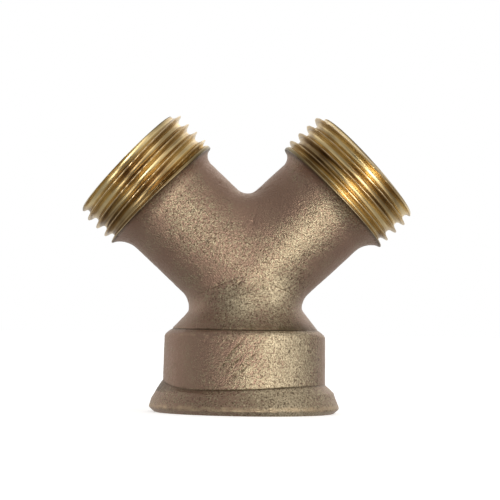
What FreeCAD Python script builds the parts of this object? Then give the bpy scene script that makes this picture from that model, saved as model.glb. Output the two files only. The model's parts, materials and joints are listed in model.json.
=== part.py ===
import FreeCAD, Part
import math
import os
from FreeCAD import Placement, Rotation, Vector

# Brass hose splitter: one tapped inlet at the foot, two threaded outlets at the top.
# Sizes are in millimetres. The origin is the centre of the inlet's mouth, which is
# the plane the splitter stands on. +Z is up and both outlets lean in the XZ plane.

# Garden hose thread, 3/4-11.5 NH, shared by the inlet and both outlets.
THREAD_PITCH = 25.4 / 11.5
THREAD_CREST = 0.3
THREAD_FLANK_ANGLE = 30.0
THREAD_BITE = 0.15
THREAD_START_ANGLE = 37.0
OUTLET_THREAD_DIAMETER = 26.9
OUTLET_THREAD_DEPTH = 1.40
INLET_THREAD_DEPTH = 1.25
THREAD_CLEARANCE = 0.15

# Outlet ends, measured along each arm.
OUTLET_LENGTH = 9.05
LIP_THICKNESS = 1.0
LIP_DROP = 0.2
RIM_CHAMFER = 0.9
RIM_BEVEL = 0.5

# Arms and neck.
WATERWAY_DIAMETER = 17.0
PIPE_WALL = 2.35
ARM_ANGLE = 47.0
ARM_LENGTH = 22.45
ARM_FLARE_RADIUS = 3.4
CROTCH_FILLET = 2.85
BRANCH_FILLET = 4.0
JUNCTION_SWELL = 0.3
NECK_LENGTH = 6.6
NECK_FLARE_HEIGHT = 4.0

# Inlet socket, from the mouth upwards.
MOUTH_COUNTERBORE_DEPTH = 1.5
MOUTH_CLEARANCE = 0.35
INLET_THREAD_LENGTH = 7.6
WASHER_THICKNESS = 3.0
WASHER_SPACE = 0.3
SOCKET_ROOF = 2.55
SOCKET_WALL = 1.55
SOCKET_DRAFT = 0.15
THREAD_RELIEF = 0.4
INLET_THREAD_BACKING = 0.6
SHOULDER_RISE = 1.0
SHOULDER_WIDTH = 1.3
SHOULDER_FILLET = 0.5

# Foot flange around the mouth.
FLANGE_HEIGHT = 4.95
FLANGE_WIDTH = 2.75
FLANGE_EDGE_HEIGHT = 1.05
FLANGE_EDGE_BEVEL = 1.35
FLANGE_SHELF_WIDTH = 1.7
FLANGE_SHELF_DROP = 0.9
FLANGE_FILLET = 0.6

# Inlet washer, which lies loose in the relief above the thread.
WASHER_CLEARANCE = 1.3
WASHER_OVERHANG = 0.5
WASHER_EDGE_FILLET = 0.4

# Worked out from the sizes above.
PIPE_RADIUS = WATERWAY_DIAMETER / 2 + PIPE_WALL
OUTLET_CREST_RADIUS = OUTLET_THREAD_DIAMETER / 2
OUTLET_ROOT_RADIUS = OUTLET_CREST_RADIUS - OUTLET_THREAD_DEPTH
LIP_RADIUS = OUTLET_CREST_RADIUS - LIP_DROP
MOUTH_RADIUS = OUTLET_CREST_RADIUS + MOUTH_CLEARANCE
INLET_ROOT_RADIUS = OUTLET_CREST_RADIUS + THREAD_CLEARANCE
INLET_CREST_RADIUS = INLET_ROOT_RADIUS - INLET_THREAD_DEPTH
INLET_RING_RADIUS = INLET_ROOT_RADIUS + INLET_THREAD_BACKING
RELIEF_RADIUS = INLET_ROOT_RADIUS + THREAD_RELIEF
WASHER_RADIUS = RELIEF_RADIUS - WASHER_CLEARANCE
WASHER_HOLE_RADIUS = WATERWAY_DIAMETER / 2 - WASHER_OVERHANG
THREAD_TOP = MOUTH_COUNTERBORE_DEPTH + INLET_THREAD_LENGTH
SEAT_HEIGHT = THREAD_TOP + WASHER_THICKNESS + WASHER_SPACE
SOCKET_TOP = SEAT_HEIGHT + SOCKET_ROOF
SOCKET_RADIUS = RELIEF_RADIUS + SOCKET_WALL
SHOULDER_TOP = SOCKET_TOP + SHOULDER_RISE
SHOULDER_RADIUS = SOCKET_RADIUS - SHOULDER_WIDTH
FLANGE_RADIUS = SOCKET_RADIUS + SOCKET_DRAFT + FLANGE_WIDTH
NECK_FOOT = SHOULDER_TOP + NECK_FLARE_HEIGHT
JUNCTION_HEIGHT = NECK_FOOT + NECK_LENGTH
OVERRUN = 2.0
FILLET_LIMIT = 0.4
LEVEL = 0.01

Y_AXIS = Vector(0, 1, 0)
Z_AXIS = Vector(0, 0, 1)
LEFT = -1
RIGHT = 1


def turned(points):
    """Solid of revolution about Z from a closed outline of (radius, height) points."""
    outline = Part.makePolygon([Vector(radius, 0, height) for radius, height in points + points[:1]])
    return Part.Face(outline).revolve(Vector(0, 0, 0), Z_AXIS, 360)


def tube(outer, inner, low, high):
    """Plain ring between two heights."""
    return turned([(inner, low), (outer, low), (outer, high), (inner, high)])


def circles_at(shape, radius, height):
    """Round edges of one radius that lie at one height."""
    found = []
    for edge in shape.Edges:
        box = edge.BoundBox
        level = abs(box.ZMin - height) < 1e-4 and abs(box.ZMax - height) < 1e-4
        if level and abs(box.XMax - radius) < 1e-3:
            found.append(edge)
    return found


def along_arm(shape, side):
    """Turn a shape made upright at the origin onto one arm, with the junction at the origin."""
    placed = shape.copy()
    placed.Placement = Placement(Vector(0, 0, 0), Rotation(Y_AXIS, side * ARM_ANGLE))
    return placed


def raised(shape, height):
    """Lift a shape that was made with the junction at the origin to its height."""
    placed = shape.copy()
    placed.translate(Vector(0, 0, height))
    return placed


def helical_ridge(root, crest, low, high):
    """One right-hand thread ridge, wound past both ends of the stretch it has to cover."""
    flank = abs(crest - root) * math.tan(math.radians(THREAD_FLANK_ANGLE))
    bite = math.copysign(THREAD_BITE, crest - root)
    half_foot = THREAD_CREST / 2 + flank * (1 + THREAD_BITE / abs(crest - root))
    start = low - THREAD_PITCH
    profile = Part.makePolygon([
        Vector(root - bite, 0, start - half_foot),
        Vector(crest, 0, start - THREAD_CREST / 2),
        Vector(crest, 0, start + THREAD_CREST / 2),
        Vector(root - bite, 0, start + half_foot),
        Vector(root - bite, 0, start - half_foot),
    ])
    path = Part.makeHelix(THREAD_PITCH, high - low + 2 * THREAD_PITCH, root)
    path.translate(Vector(0, 0, start))
    ridge = Part.Wire(path.Edges).makePipeShell([profile], True, True)
    ridge.rotate(Vector(0, 0, 0), Z_AXIS, THREAD_START_ANGLE)
    return ridge


def pipes(radius, neck_drop, arm_length):
    """Neck and both arms as plain round bars that meet at the origin."""
    neck = Part.makeCylinder(radius, neck_drop, Vector(0, 0, -neck_drop))
    arms = [along_arm(Part.makeCylinder(radius, arm_length), side) for side in (LEFT, RIGHT)]
    return neck.multiFuse(arms).removeSplitter().Solids[0]


def blended_pipes():
    """Outside of the wye with its crotch and the two corners beside the neck filleted."""
    bars = pipes(PIPE_RADIUS, NECK_LENGTH + NECK_FLARE_HEIGHT, ARM_LENGTH)
    bars = bars.fuse(Part.makeSphere(PIPE_RADIUS + JUNCTION_SWELL)).removeSplitter().Solids[0]
    crotch = []
    for edge in bars.Edges:
        box = edge.BoundBox
        if box.XLength < LEVEL and box.YLength > PIPE_RADIUS / 2 and box.ZMin > 0:
            crotch.append(edge)
    bars = bars.makeFillet(min(CROTCH_FILLET, FILLET_LIMIT * PIPE_RADIUS), crotch)
    corners = []
    for edge in bars.Edges:
        box = edge.BoundBox
        beside_neck = box.ZMax < LEVEL and LEVEL < box.XLength < PIPE_RADIUS
        if beside_neck and box.YLength > LEVEL and box.ZLength > LEVEL:
            corners.append(edge)
    return bars.makeFillet(min(BRANCH_FILLET, FILLET_LIMIT * PIPE_RADIUS), corners)


def arm_flare():
    """Hollow curve that widens an arm to the width of the outlet's lip, made upright."""
    rise = LIP_RADIUS - PIPE_RADIUS
    radius = max(ARM_FLARE_RADIUS, rise)
    drop = math.sqrt(radius ** 2 - (radius - rise) ** 2)
    sweep = math.acos((radius - rise) / radius)
    centre = Vector(PIPE_RADIUS + radius, 0, ARM_LENGTH - drop)
    start = Vector(PIPE_RADIUS, 0, ARM_LENGTH - drop)
    middle = centre + Vector(-radius * math.cos(sweep / 2), 0, radius * math.sin(sweep / 2))
    end = Vector(LIP_RADIUS, 0, ARM_LENGTH)
    inner = WATERWAY_DIAMETER / 2
    low = Vector(inner, 0, ARM_LENGTH - drop)
    high = Vector(inner, 0, ARM_LENGTH)
    edges = [
        Part.Arc(start, middle, end).toShape(),
        Part.makeLine(end, high),
        Part.makeLine(high, low),
        Part.makeLine(low, start),
    ]
    return Part.Face(Part.Wire(edges)).revolve(Vector(0, 0, 0), Z_AXIS, 360)


def wye_body():
    """Blasted brass wye: flared neck, junction and both arms up to their lips."""
    foot = -NECK_LENGTH - NECK_FLARE_HEIGHT
    flare = turned([(0, foot), (SHOULDER_RADIUS, foot), (PIPE_RADIUS, -NECK_LENGTH), (0, -NECK_LENGTH)])
    flares = [along_arm(arm_flare(), side) for side in (LEFT, RIGHT)]
    outside = blended_pipes().multiFuse([flare] + flares).removeSplitter()
    waterway = pipes(WATERWAY_DIAMETER / 2, OVERRUN - foot, ARM_LENGTH + OVERRUN)
    return raised(outside.cut(waterway).Solids[0], JUNCTION_HEIGHT)


def inlet_socket():
    """Bell of the inlet with its shoulder, washer seat and foot flange."""
    flange_shelf_radius = SOCKET_RADIUS + SOCKET_DRAFT + FLANGE_SHELF_WIDTH
    outline = [
        (0, 0),
        (FLANGE_RADIUS - FLANGE_EDGE_BEVEL, 0),
        (FLANGE_RADIUS, FLANGE_EDGE_HEIGHT),
        (flange_shelf_radius, FLANGE_HEIGHT - FLANGE_SHELF_DROP),
        (SOCKET_RADIUS + SOCKET_DRAFT, FLANGE_HEIGHT),
        (SOCKET_RADIUS, SOCKET_TOP),
        (SHOULDER_RADIUS, SHOULDER_TOP),
        (0, SHOULDER_TOP),
    ]
    bell = turned(outline)
    softened = circles_at(bell, flange_shelf_radius, FLANGE_HEIGHT - FLANGE_SHELF_DROP)
    softened += circles_at(bell, FLANGE_RADIUS, FLANGE_EDGE_HEIGHT)
    bell = bell.makeFillet(FLANGE_FILLET, softened)
    bell = bell.makeFillet(SHOULDER_FILLET, circles_at(bell, SOCKET_RADIUS, SOCKET_TOP))
    hollow = turned([
        (0, -OVERRUN),
        (INLET_RING_RADIUS, -OVERRUN),
        (INLET_RING_RADIUS, THREAD_TOP),
        (RELIEF_RADIUS, THREAD_TOP),
        (RELIEF_RADIUS, SEAT_HEIGHT),
        (WATERWAY_DIAMETER / 2, SEAT_HEIGHT),
        (WATERWAY_DIAMETER / 2, SHOULDER_TOP + OVERRUN),
        (0, SHOULDER_TOP + OVERRUN),
    ])
    return bell.cut(hollow).Solids[0]


def inlet_thread():
    """Tapped ring at the mouth, with a plain counterbore that leads the hose end in."""
    past_ends = 3 * THREAD_PITCH
    ring = tube(INLET_RING_RADIUS, INLET_ROOT_RADIUS, -past_ends, THREAD_TOP + past_ends)
    ridge = helical_ridge(INLET_ROOT_RADIUS, INLET_CREST_RADIUS, MOUTH_COUNTERBORE_DEPTH, THREAD_TOP)
    clear_radius = INLET_CREST_RADIUS - INLET_THREAD_DEPTH
    envelope = turned([
        (INLET_RING_RADIUS + OVERRUN, 0),
        (INLET_RING_RADIUS + OVERRUN, THREAD_TOP),
        (clear_radius, THREAD_TOP),
        (clear_radius, MOUTH_COUNTERBORE_DEPTH + INLET_THREAD_DEPTH),
        (INLET_ROOT_RADIUS, MOUTH_COUNTERBORE_DEPTH),
        (MOUTH_RADIUS, MOUTH_COUNTERBORE_DEPTH),
        (MOUTH_RADIUS, 0),
    ])
    return ring.fuse(ridge).common(envelope).Solids[0]


def outlet_thread():
    """Threaded outlet made upright: lip, root cylinder, right-hand ridge, bevelled rim."""
    lip_top = ARM_LENGTH + LIP_THICKNESS
    rim = ARM_LENGTH + OUTLET_LENGTH
    bore = WATERWAY_DIAMETER / 2
    core = turned([
        (bore, ARM_LENGTH),
        (LIP_RADIUS, ARM_LENGTH),
        (LIP_RADIUS, lip_top),
        (OUTLET_ROOT_RADIUS, lip_top),
        (OUTLET_ROOT_RADIUS, rim),
        (bore + RIM_BEVEL, rim),
        (bore, rim - RIM_BEVEL),
    ])
    ridge = helical_ridge(OUTLET_ROOT_RADIUS, OUTLET_CREST_RADIUS, lip_top, rim)
    envelope = turned([
        (OUTLET_ROOT_RADIUS - 2 * THREAD_BITE, lip_top),
        (OUTLET_CREST_RADIUS + THREAD_BITE, lip_top),
        (OUTLET_CREST_RADIUS + THREAD_BITE, rim - RIM_CHAMFER),
        (OUTLET_ROOT_RADIUS, rim),
        (OUTLET_ROOT_RADIUS - 2 * THREAD_BITE, rim),
    ])
    return core.fuse(ridge.common(envelope)).Solids[0]


def inlet_washer():
    """Flat rubber washer that sits against the seat above the inlet thread."""
    low = SEAT_HEIGHT - WASHER_THICKNESS
    washer = tube(WASHER_RADIUS, WASHER_HOLE_RADIUS, low, SEAT_HEIGHT)
    edges = circles_at(washer, WASHER_RADIUS, low) + circles_at(washer, WASHER_RADIUS, SEAT_HEIGHT)
    return washer.makeFillet(WASHER_EDGE_FILLET, edges)


def build():
    """Write every piece of the splitter to its own STEP file."""
    outlet = outlet_thread()
    pieces = {
        "wye_body": wye_body(),
        "inlet_socket": inlet_socket(),
        "inlet_thread": inlet_thread(),
        "inlet_washer": inlet_washer(),
        "left_outlet_thread": raised(along_arm(outlet, LEFT), JUNCTION_HEIGHT),
        "right_outlet_thread": raised(along_arm(outlet, RIGHT), JUNCTION_HEIGHT),
    }
    os.makedirs("parts", exist_ok=True)
    for name, shape in pieces.items():
        box = shape.optimalBoundingBox()
        print(name, len(shape.Solids), shape.isValid(), round(shape.Volume, 1),
              [round(v, 2) for v in (box.XMin, box.XMax, box.YMin, box.YMax, box.ZMin, box.ZMax)])
        shape.exportStep("parts/" + name + ".step")


build()
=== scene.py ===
"""Brass hose splitter: one blasted forging with two turned outlets, a tapped inlet and its washer.

The forging is skinned as one sheet and parted at the shoulder crease, so the wye
and the inlet socket meet without a step. Sizes are in millimetres in the classes
and become metres when a mesh is made.
"""

import json
import logging
import math
from dataclasses import dataclass, field
from enum import Enum

import bpy
import numpy as np
from mathutils import Matrix, Vector


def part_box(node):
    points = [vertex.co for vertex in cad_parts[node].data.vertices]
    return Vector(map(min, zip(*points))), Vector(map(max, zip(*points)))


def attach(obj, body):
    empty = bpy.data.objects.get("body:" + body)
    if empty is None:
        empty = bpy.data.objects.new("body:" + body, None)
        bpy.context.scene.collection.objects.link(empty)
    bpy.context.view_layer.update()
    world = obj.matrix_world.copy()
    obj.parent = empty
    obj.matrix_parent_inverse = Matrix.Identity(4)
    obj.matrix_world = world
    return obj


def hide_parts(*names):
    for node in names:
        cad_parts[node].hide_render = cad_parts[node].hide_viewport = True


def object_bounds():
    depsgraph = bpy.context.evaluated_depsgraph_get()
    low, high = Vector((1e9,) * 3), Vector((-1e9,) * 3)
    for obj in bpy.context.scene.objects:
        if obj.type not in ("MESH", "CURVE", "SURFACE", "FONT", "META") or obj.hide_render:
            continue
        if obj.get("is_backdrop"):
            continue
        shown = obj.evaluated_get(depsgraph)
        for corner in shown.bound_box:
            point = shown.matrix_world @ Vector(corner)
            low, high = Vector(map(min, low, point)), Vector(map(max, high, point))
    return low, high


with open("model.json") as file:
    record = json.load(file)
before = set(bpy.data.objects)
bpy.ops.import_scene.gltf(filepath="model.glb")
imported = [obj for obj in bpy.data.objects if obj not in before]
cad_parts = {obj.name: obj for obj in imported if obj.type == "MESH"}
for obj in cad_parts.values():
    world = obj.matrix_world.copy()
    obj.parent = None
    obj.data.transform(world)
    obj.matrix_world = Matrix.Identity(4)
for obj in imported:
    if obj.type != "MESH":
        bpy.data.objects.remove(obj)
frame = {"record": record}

MM = 0.001
FULL_TURN = 2.0 * math.pi
log = logging.getLogger("hose_splitter")

Array = np.ndarray
Node, Socket = bpy.types.Node, bpy.types.NodeSocket
Material, Piece = bpy.types.Material, bpy.types.Object
Axes = tuple[Array, Array, Array]

UPWARD = (np.array([1.0, 0.0, 0.0]), np.array([0.0, 1.0, 0.0]), np.array([0.0, 0.0, 1.0]))
DOWNWARD = (UPWARD[0], UPWARD[1], np.array([0.0, 0.0, -1.0]))


class Slot(Enum):
    """The record's material slots."""

    BLASTED = "blasted_brass"
    TURNED = "turned_brass"
    RUBBER = "washer_rubber"


class Side(Enum):
    """The two arms, by the sign of X that they lean toward."""

    LEFT = -1.0
    RIGHT = 1.0


# ---------------------------------------------------------------- grain and meshes


def lattice_noise(points: Array, size: float, seed: int) -> Array:
    """Smooth seeded noise in space.

    Args:
        points: Places in millimetres, one row each.
        size: Width of one lump in millimetres.
        seed: Picks the pattern.

    Returns:
        One value from -1 to 1 for each place.
    """
    scaled = points / size
    cell = np.floor(scaled).astype(np.int64)
    part = scaled - cell
    ease = smooth(part)
    total = np.zeros(len(points))
    for corner in range(8):
        step = np.array([corner & 1, (corner >> 1) & 1, corner >> 2])
        spot = cell + step
        mixed = spot @ np.array([374761393, 668265263, 1274126177]) + seed * 974634777
        mixed = (mixed ^ (mixed >> 13)) & 0xFFFFFFFF
        mixed = (mixed * 1274126177) & 0xFFFFFFFF
        value = ((mixed ^ (mixed >> 16)) & 0xFFFFFF) / 0x7FFFFF - 1.0
        share = np.where(step == 1, ease, 1.0 - ease).prod(axis=1)
        total += value * share
    return total


def hump(*offsets: Array) -> Array:
    """A smooth bump, one where every offset is nothing and fading with each."""
    return np.exp(-sum(offset**2 for offset in offsets))


def smooth(share: Array) -> Array:
    """Eases a share from 0 to 1 in and out."""
    return share * share * (3.0 - 2.0 * share)


def ring_angles(around: int) -> Array:
    """The angles of a ring's points."""
    return np.arange(around) * (FULL_TURN / around)


def spokes(turn: Array, axes: Axes = UPWARD) -> Array:
    """The direction out from an axis at each angle round it."""
    return np.cos(turn)[:, None] * axes[0] + np.sin(turn)[:, None] * axes[1]


def hoop(reach: Array | float, radius: Array | float, turn: Array, axes: Axes = UPWARD) -> Array:
    """Places round an axis.

    Args:
        reach: Distance along the axis, one for all angles or one for each.
        radius: Distance from the axis, likewise.
        turn: The angles.
        axes: Two directions square to the axis, then the axis itself.

    Returns:
        The places, X, Y, Z last.
    """
    return np.asarray(reach)[..., None] * axes[2] + np.asarray(radius)[..., None] * spokes(turn, axes)


@dataclass
class Draft:
    """Points and faces gathered for one mesh."""

    points: list[Array] = field(default_factory=list)
    faces: list[Array] = field(default_factory=list)
    paints: list[Array] = field(default_factory=list)
    count: int = 0

    def add_points(self, places: Array) -> Array:
        """Adds places and gives back their numbers in the same layout.

        Args:
            places: An array whose last axis is X, Y, Z in millimetres.

        Returns:
            The new point numbers.
        """
        flat = places.reshape(-1, 3)
        first = self.count
        self.points.append(flat)
        self.count += len(flat)
        return (first + np.arange(len(flat))).reshape(places.shape[:-1])

    def add_band(self, rings: Array, flip: bool = False, paint: int = 0) -> None:
        """Joins rings of point numbers with four-sided faces.

        Args:
            rings: Rows of point numbers, each row one closed ring.
            flip: Turns the faces over.
            paint: Which of the piece's finishes the faces take.
        """
        near, far = rings[:-1], rings[1:]
        loops = [near, np.roll(near, -1, axis=1), np.roll(far, -1, axis=1), far]
        quads = np.stack(loops[::-1] if flip else loops, axis=-1).reshape(-1, 4)
        self.faces.append(quads)
        self.paints.append(np.full(len(quads), paint, np.int32))

    def all_points(self) -> Array:
        """Every point so far as one array."""
        return np.concatenate(self.points)

    def normals(self) -> Array:
        """The outward direction at each point, averaged over its faces.

        Returns:
            One direction of length one for each point.
        """
        places, quads = self.all_points(), np.concatenate(self.faces)
        corners = places[quads]
        across = np.cross(corners[:, 2] - corners[:, 0], corners[:, 3] - corners[:, 1])
        summed = np.zeros_like(places)
        for corner in range(4):
            for axis in range(3):
                summed[:, axis] += np.bincount(quads[:, corner], across[:, axis], len(places))
        return summed / np.maximum(np.linalg.norm(summed, axis=1, keepdims=True), 1e-12)

    def build(
        self,
        name: str,
        finishes: list[Material],
        attributes: dict[str, Array] | None = None,
        crisp: float = 33.0,
    ) -> Piece:
        """Makes the Blender object.

        Args:
            name: The piece's name.
            finishes: Its materials, in the order of the paint numbers.
            attributes: Values for the materials, one for each point.
            crisp: Edges that turn more than this many degrees stay sharp.

        Returns:
            The linked object.
        """
        mesh = bpy.data.meshes.new(name)
        quads = np.concatenate(self.faces)
        places = self.all_points()
        used = np.unique(quads)
        renumber = np.zeros(len(places), np.int64)
        renumber[used] = np.arange(len(used))
        mesh.from_pydata((places[used] * MM).tolist(), [], renumber[quads].tolist())
        mesh.polygons.foreach_set("material_index", np.concatenate(self.paints))
        for key, values in (attributes or {}).items():
            layer = mesh.attributes.new(key, "FLOAT", "POINT")
            layer.data.foreach_set("value", values[used].astype(np.float32))
        for finish in finishes:
            mesh.materials.append(finish)
        mesh.shade_smooth()
        mesh.set_sharp_from_angle(angle=math.radians(crisp))
        mesh.validate()
        mesh.update()
        piece = bpy.data.objects.new(name, mesh)
        bpy.context.scene.collection.objects.link(piece)
        return piece


def seat(piece: Piece, slot: Slot, *nodes: str) -> Piece:
    """Puts a piece on the root body in place of its CAD nodes.

    Args:
        piece: The finished object.
        slot: The record slot that it takes its finish from; not used.
        *nodes: The CAD nodes that it stands for.

    Returns:
        The same object.
    """
    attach(piece, "root")
    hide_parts(*nodes)
    log.info("%s: %d faces, stands for %s", piece.name, len(piece.data.polygons), ", ".join(nodes))
    return piece


# ---------------------------------------------------------------- layout


@dataclass(frozen=True)
class Layout:
    """Where the forging's three passages lie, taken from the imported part."""

    junction: Array
    lean: float
    crease_height: float
    thread_start: float
    rim: float

    @classmethod
    def from_frame(cls) -> "Layout":
        """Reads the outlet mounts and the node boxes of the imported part.

        Returns:
            The layout in millimetres.
        """
        mounts = {m["name"]: m for m in frame["record"]["mounts"]}
        pin = np.array(mounts["left_outlet"]["pos_m"], float) / MM
        face = np.array(mounts["left_outlet_face"]["pos_m"], float) / MM
        axis = np.array(mounts["left_outlet"]["axis"], float)
        axis = axis / np.linalg.norm(axis)
        axis = axis * np.sign(axis[2])
        reach = pin[0] / axis[0]
        height = pin[2] - reach * axis[2]
        junction = np.array([0.0, 0.0, height])
        low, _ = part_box("wye_body")
        rim = float((face - junction) @ axis)
        return cls(junction, math.acos(axis[2]), low.z / MM, reach - 0.5, rim)

    def arm_axes(self, side: Side) -> Axes:
        """Directions of one arm.

        Args:
            side: Which arm.

        Returns:
            The way to the crotch, the way round from it, and the way along the arm.
        """
        along = np.array([side.value * math.sin(self.lean), 0.0, math.cos(self.lean)])
        crotch = np.array([-side.value * math.cos(self.lean), 0.0, math.sin(self.lean)])
        return crotch, np.cross(along, crotch), along


# ---------------------------------------------------------------- forged body


@dataclass
class ForgedBody:
    """The blasted forging: two arms, the neck, the inlet socket and its flange."""

    layout: Layout
    around: int = 448
    arm_rows: int = 62
    flare_rows: int = 60
    neck_rows: int = 34
    passage_rows: int = 30
    neck_passage_rows: int = 16
    walk_steps: int = 48
    seam_clearance: float = 5.0
    ring_clearance: float = 4.0
    pipe_radius: float = 10.85
    bore_radius: float = 8.5
    crotch_fillet: float = 2.6
    branch_fillet: float = 4.0
    face_fillet: float = 14.0
    plain_arm_end: float = 16.0
    lip_radius: float = 13.25
    lip_tilt: float = 0.5
    lip_wear: float = 0.04
    lip_offset: float = 0.24
    flare_upper: float = 2.3
    flare_lower: float = 4.6
    neck_foot: float = 19.95
    neck_foot_drop: float = 0.55
    crease_radius: float = 14.15
    shoulder_height: float = 14.85
    socket_radius: float = 15.5
    flange_wall_radius: float = 15.68
    socket_bore: float = 14.2
    ring_height: float = 9.1
    relief_radius: float = 14.0
    roof: float = 12.4
    roof_break: float = 0.3
    flange_middle: float = 4.95
    wall_foot: float = 4.9
    wall_top: float = 15.9
    rubbed_radius: float = 18.3
    rubbed_width: float = 0.28
    flange_rises: tuple = (
        (180, 1.35), (205, 0.3), (222, -0.3), (245, -0.35), (270, -0.1),
        (305, 0.5), (345, 0.6), (30, 0.4), (120, 0.2),
    )
    shoulder_crispness: tuple = (
        (180, 1.0), (225, 1.0), (270, 0.8), (300, 0.25), (0, 0.3), (60, 0.5), (110, 0.9),
    )
    # Strength round the socket of the painted shadow band above the shoulder crease.
    crease_shadow: tuple = (
        (180, 0.0), (235, 0.1), (262, 0.5), (285, 0.85), (330, 0.75), (0, 0.4), (40, 0.3), (90, 0.2),
    )
    # Strength round the socket of the painted shade in the corner between the socket wall and the flange.
    flange_corner_shade: tuple = ((180, 0.9), (215, 0.5), (245, 0.75), (275, 0.9), (310, 0.7), (0, 0.5), (90, 0.6))
    lump_height: float = 0.05
    grain_height: float = 0.022
    pit_count: int = 150
    seed: int = 11
    deep_pits: tuple = (
        (3.1, -10.40, 24.1, 0.40),
        (5.6, -9.40, 21.4, 0.42),
        (-2.4, -11.60, 18.9, 0.42),
        (8.2, -13.10, 12.1, 0.26),
        (4.3, -14.85, 9.2, 0.24),
        (8.9, -15.60, 2.6, 0.30),
        (6.4, -16.40, 2.9, 0.26),
        (-9.6, -9.9, 38.4, 0.24),
        (-0.8, -10.8, 31.4, 0.26),
    )
    strokes: tuple = (
        (-0.4, 14.6, -3.6, 10.6, 0.10),
        (-3.6, 10.6, -4.6, 8.4, 0.06),
        (0.6, 12.6, -4.2, 7.6, 0.07),
        (3.2, 13.2, -1.2, 8.6, 0.06),
        (1.4, 10.2, -2.8, 6.6, 0.07),
        (-1.0, 8.8, -3.6, 6.2, 0.05),
        (4.4, 11.2, 1.0, 7.4, 0.04),
        (2.4, 25.6, 0.4, 22.8, 0.05),
        (-1.8, 21.6, 0.6, 23.4, 0.04),
    )
    stroke_relief: float = 0.6
    stroke_width: float = 0.16
    flash_turn: float = -49.6
    flash_height: float = 0.10
    flash_top: float = 6.6
    flash_width: float = 0.13
    flash_radius: float = 18.0
    pit_depth: float = 0.45
    # Painted light bands along the arms: arm, centre, width and strength.
    arm_glows: tuple = ((Side.LEFT, -0.6, 5.6, 0.30), (Side.RIGHT, 2.6, 3.8, 0.62))

    def turns(self) -> Array:
        """The angles of the points in one ring."""
        return ring_angles(self.around)

    def lip_reach(self, turn: Array) -> Array:
        """How far along the arm the lip's edge lies at each angle from the crotch."""
        return self.layout.thread_start - self.lip_tilt * np.cos(turn)

    def lip_edge(self, turn: Array) -> Array:
        """The lip's radius at each angle, proud on the branch side."""
        return self.lip_radius - self.lip_wear - self.lip_offset * np.cos(turn)

    def flared_radius(self, reach: Array, turn: Array) -> Array:
        """The arm's radius where it flares out to the lip.

        Args:
            reach: Distance along the arm.
            turn: Angle round the arm from the crotch.

        Returns:
            The radius at each place.
        """
        share = 0.5 - 0.5 * np.cos(turn)
        sweep = self.flare_upper + (self.flare_lower - self.flare_upper) * share
        height = self.lip_edge(turn) - self.pipe_radius
        run = np.sqrt(np.maximum(sweep**2 - np.maximum(sweep - height, 0.0) ** 2, 0.0))
        into = np.clip((reach - (self.lip_reach(turn) - run)) / sweep, 0.0, 1.0)
        rise = sweep * (1.0 - np.sqrt(np.maximum(1.0 - into**2, 0.0)))
        return self.pipe_radius + np.minimum(rise, height)

    def pipe_gap(self, places: Array, along: Array) -> tuple[Array, Array]:
        """How far places are from one pipe's wall.

        Args:
            places: Places from the junction.
            along: The pipe's direction.

        Returns:
            The distance, negative inside, and the direction away from the pipe.
        """
        reach = np.maximum(places @ along, 0.0)
        off = places - reach[:, None] * along
        length = np.maximum(np.linalg.norm(off, axis=1), 1e-9)
        return length - self.pipe_radius, off / length[:, None]

    @staticmethod
    def filleted(first: tuple, second: tuple, radius: Array) -> tuple[Array, Array]:
        """Joins two walls with a rolling-ball fillet.

        Args:
            first: Distance and direction of one wall.
            second: Distance and direction of the other.
            radius: The fillet's radius at each place.

        Returns:
            Distance and direction of the joined wall.
        """
        near, far = first[0], second[0]
        lean = np.clip((first[1] * second[1]).sum(axis=1), -0.999, 0.9995)
        a, b = radius - near, radius - far
        deep = np.sqrt(np.maximum(a * a + b * b - 2.0 * a * b * lean, 1e-12) / (1.0 - lean**2))
        between = (a - b * lean > 0.0) & (b - a * lean > 0.0)
        pull = (a - b * lean)[:, None] * first[1] + (b - a * lean)[:, None] * second[1]
        pull /= np.maximum(np.linalg.norm(pull, axis=1), 1e-9)[:, None]
        nearer = np.where((near < far)[:, None], first[1], second[1])
        gap = np.where(between, radius - deep, np.minimum(near, far))
        return gap, np.where(between[:, None], pull, nearer)

    def wall_gap(self, places: Array) -> Array:
        """Distance from the blended pipes.

        Args:
            places: Places measured from the junction.

        Returns:
            The distance of each place, negative inside.
        """
        left = self.pipe_gap(places, self.layout.arm_axes(Side.LEFT)[2])
        right = self.pipe_gap(places, self.layout.arm_axes(Side.RIGHT)[2])
        neck = self.pipe_gap(places, DOWNWARD[2])
        soften = self.face_fillet * np.clip(np.abs(places[:, 1]) / self.pipe_radius, 0.0, 1.0) ** 2
        arms = self.filleted(left, right, self.crotch_fillet + soften)
        return self.filleted(arms, neck, self.branch_fillet + soften)[0]

    def walk_in(self, base: Array, way: Array, start: float) -> Array:
        """Walks from outside to the wall along rays.

        Args:
            base: Where each ray starts, from the junction.
            way: The rays' directions.
            start: How far out to begin.

        Returns:
            The distance along each ray at which it meets the wall.
        """
        pace = np.linalg.norm(way, axis=1)
        out = np.full(len(base), start)
        for _ in range(self.walk_steps):
            out -= self.wall_gap(base + out[:, None] * way) / pace
        return out

    def seam_slopes(self) -> Array:
        """How the seam between an arm and its neighbours runs.

        Returns:
            Reach over radius at each angle from the crotch.
        """
        lean, level = self.layout.lean, np.cos(self.turns())
        lower = -level * math.sin(lean) / (1.0 + math.cos(lean))
        return np.where(level > 0.0, level / math.tan(lean), lower)

    def neck_slopes(self) -> Array:
        """Reach over radius of the seam between the neck and the arms at each angle."""
        lean = self.layout.lean
        return np.abs(np.cos(self.turns())) * math.sin(lean) / (1.0 + math.cos(lean))

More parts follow.
